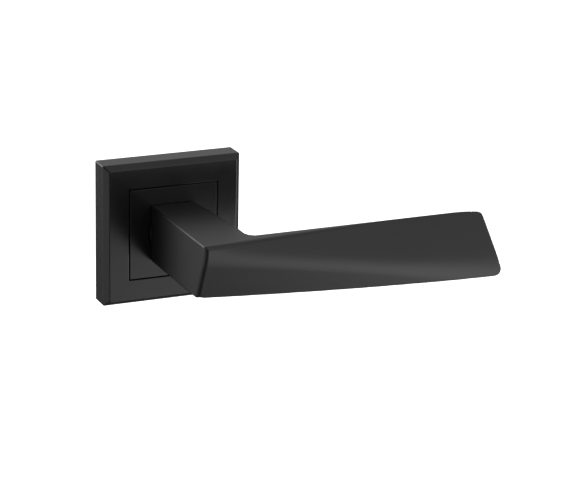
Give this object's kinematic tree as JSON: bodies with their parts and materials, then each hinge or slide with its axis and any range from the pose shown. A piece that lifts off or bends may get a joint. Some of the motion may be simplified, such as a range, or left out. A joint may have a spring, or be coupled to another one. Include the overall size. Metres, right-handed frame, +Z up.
{
  "type": "door lever handle",
  "caption": "Matte black door lever handle: a faceted, twisted grip on a square neck that turns in a square chamfered rose.",
  "frame": {"origin": "on the door face, on the axis of the spindle", "axes": "+X along the lever from the neck to the tip, +Y into the door, +Z up; the handle's front looks along -Y"},
  "size_m": [0.1318, 0.1066, 0.052],
  "materials": {
    "black_finish": "matte black powder coat on a zinc casting",
    "zinc_casting": "raw die-cast zinc, dull grey",
    "plated_steel": "zinc-plated steel",
    "spring_steel": "oiled spring steel",
    "blackened_steel": "black oxide steel",
    "nylon": "black nylon"
  },
  "bodies": {
    "rose": {"rose_cover": "black_finish", "rose_insert": "black_finish", "base_plate": "zinc_casting", "back_plate": "plated_steel", "bearing_bush": "nylon", "cover_clip_top": "spring_steel", "cover_clip_right": "spring_steel", "cover_clip_bottom": "spring_steel", "cover_clip_left": "spring_steel", "back_plate_screw_upper_right": "plated_steel", "back_plate_screw_upper_left": "plated_steel", "back_plate_screw_lower_left": "plated_steel", "back_plate_screw_lower_right": "plated_steel", "bolt_post_upper": "plated_steel", "bolt_post_lower": "plated_steel", "return_spring": "spring_steel"},
    "lever": {"lever": "black_finish", "spindle": "plated_steel", "grub_screw": "blackened_steel", "driver_plate": "plated_steel", "thrust_washer": "plated_steel", "circlip": "spring_steel"}
  },
  "joints": [
    {"name": "lever_turn", "type": "hinge", "parent": "rose", "child": "lever", "pos_m": [0, 0, 0], "axis": [0, 1, 0], "range_deg": [0, 45], "stiffness_Nm_per_rad": 0.6, "springref_deg": -34.38, "deforming": ["return_spring"]}
  ]
}
